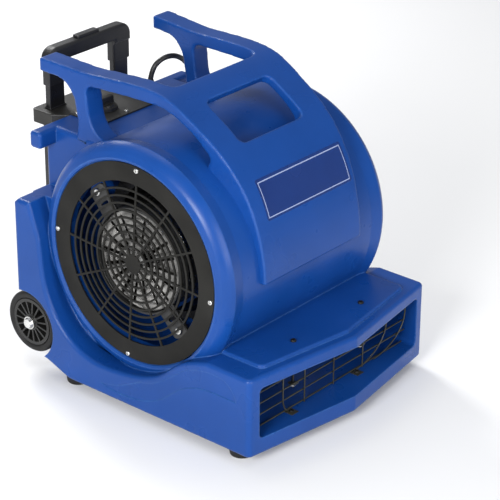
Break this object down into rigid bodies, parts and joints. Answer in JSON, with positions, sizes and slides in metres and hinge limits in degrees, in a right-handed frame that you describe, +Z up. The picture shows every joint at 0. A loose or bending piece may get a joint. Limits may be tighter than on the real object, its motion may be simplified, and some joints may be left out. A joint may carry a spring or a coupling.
{
  "type": "air mover",
  "caption": "Portable carpet-drying blower: moulded housing with a V-fronted outlet, carry hood with two horns, pull handle, transport wheels and a mains cord",
  "frame": {"origin": "On the floor, under the middle of the object without its power cord.", "axes": "+Z is up, the outlet faces -Y, and +X is to the right when looking along +Y."},
  "size_m": [0.416, 0.7389, 0.496],
  "materials": {
    "blue_moulding": "semi-gloss rotomoulded polyethylene with a fine orange-peel skin",
    "label_film": "thin satin printed film, left blank",
    "black_grille_plastic": "textured dark grey moulded plastic",
    "bright_screw_steel": "bright zinc plate",
    "black_screw_steel": "black oxide",
    "blower_plastic": "black moulded plastic",
    "machined_steel": "turned steel",
    "motor_aluminium": "cast and turned aluminium",
    "lamination_steel": "stacked laminations",
    "black_bracket_steel": "black powder coat",
    "capacitor_film": "grey plastic can",
    "black_wire": "powder-coated welded wire",
    "panel_plastic": "fine-grained black sheet",
    "switch_plastic": "moulded plastic",
    "knob_plastic": "moulded black knob",
    "gland_nylon": "black nylon",
    "black_tube_steel": "black satin enamel on thin steel tube",
    "bracket_plastic": "fine-grained black moulding",
    "grip_plastic": "fine-grained black moulding",
    "wheel_plastic": "moulded wheel with radial ribs",
    "tyre_rubber": "solid black tyre",
    "foot_rubber": "black rubber",
    "cord_rubber": "black jacketed mains cord",
    "plug_brass": "bright brass"
  },
  "bodies": {
    "base": {"housing": "blue_moulding", "carry_hood": "blue_moulding", "name_label": "label_film", "intake_grille_left": "black_grille_plastic", "intake_grille_right": "black_grille_plastic", "grille_screws_left": "bright_screw_steel", "grille_screws_right": "bright_screw_steel", "panel_screws": "bright_screw_steel", "grille_nuts": "bright_screw_steel", "bracket_bolts": "bright_screw_steel", "bracket_screws": "bright_screw_steel", "foot_screws": "bright_screw_steel", "axle_caps": "bright_screw_steel", "tray_bolts": "black_screw_steel", "outlet_grille_screws": "black_screw_steel", "axle": "machined_steel", "motor_bearings": "machined_steel", "axle_spacers": "machined_steel", "motor_end_bell_outer": "motor_aluminium", "motor_end_bell_inner": "motor_aluminium", "motor_case": "motor_aluminium", "motor_stator": "lamination_steel", "motor_bracket": "black_bracket_steel", "capacitor_clamp": "black_bracket_steel", "run_capacitor": "capacitor_film", "grille_rows": "black_wire", "grille_uprights": "black_wire", "grille_tabs": "black_wire", "control_panel": "panel_plastic", "switch_body": "switch_plastic", "cord_gland": "gland_nylon", "gland_locknut": "gland_nylon", "outer_tubes": "black_tube_steel", "upper_handle_bracket": "bracket_plastic", "lower_handle_bracket": "bracket_plastic", "rubber_feet": "foot_rubber", "power_cord": "cord_rubber", "cord_tail": "cord_rubber", "cord_coil": "cord_rubber", "power_plug": "cord_rubber", "plug_blades": "plug_brass"},
    "blower": {"blower_blades": "blower_plastic", "blower_end_rings": "blower_plastic", "blower_disc": "blower_plastic", "blower_hub": "machined_steel", "hub_set_screw": "black_screw_steel", "motor_shaft": "machined_steel", "motor_rotor": "lamination_steel"},
    "left_wheel_set": {"left_wheel": "wheel_plastic", "left_tyre": "tyre_rubber"},
    "right_wheel_set": {"right_wheel": "wheel_plastic", "right_tyre": "tyre_rubber"},
    "handle_mid_stage": {"mid_tubes": "black_tube_steel"},
    "handle_top_stage": {"inner_legs": "black_tube_steel", "handle_grip": "grip_plastic"},
    "release": {"release_button": "grip_plastic", "release_link": "machined_steel"},
    "knob": {"speed_knob": "knob_plastic", "switch_stem": "switch_plastic"}
  },
  "joints": [
    {"name": "blower_spin", "type": "hinge", "parent": "base", "child": "blower", "pos_m": [0, -0.009, 0.243], "axis": [1, 0, 0], "continuous": true},
    {"name": "left_wheel_spin", "type": "hinge", "parent": "base", "child": "left_wheel_set", "pos_m": [-0.181, 0.199, 0.0815], "axis": [1, 0, 0], "continuous": true},
    {"name": "right_wheel_spin", "type": "hinge", "parent": "base", "child": "right_wheel_set", "pos_m": [0.181, 0.199, 0.0815], "axis": [1, 0, 0], "continuous": true},
    {"name": "handle_mid_slide", "type": "slide", "parent": "base", "child": "handle_mid_stage", "axis": [0, 0, 1], "range_m": [0, 0.25]},
    {"name": "handle_grip_slide", "type": "slide", "parent": "handle_mid_stage", "child": "handle_top_stage", "axis": [0, 0, 1], "range_m": [0, 0.24]},
    {"name": "release_button_press", "type": "slide", "parent": "handle_top_stage", "child": "release", "axis": [0, 0, -1], "range_m": [0, 0.004], "stiffness_N_per_m": 1200, "springref_m": -0.006},
    {"name": "speed_knob_turn", "type": "hinge", "parent": "base", "child": "knob", "pos_m": [-0.036, 0.188, 0.391], "axis": [0, 0, 1], "range_deg": [0, 135]}
  ]
}
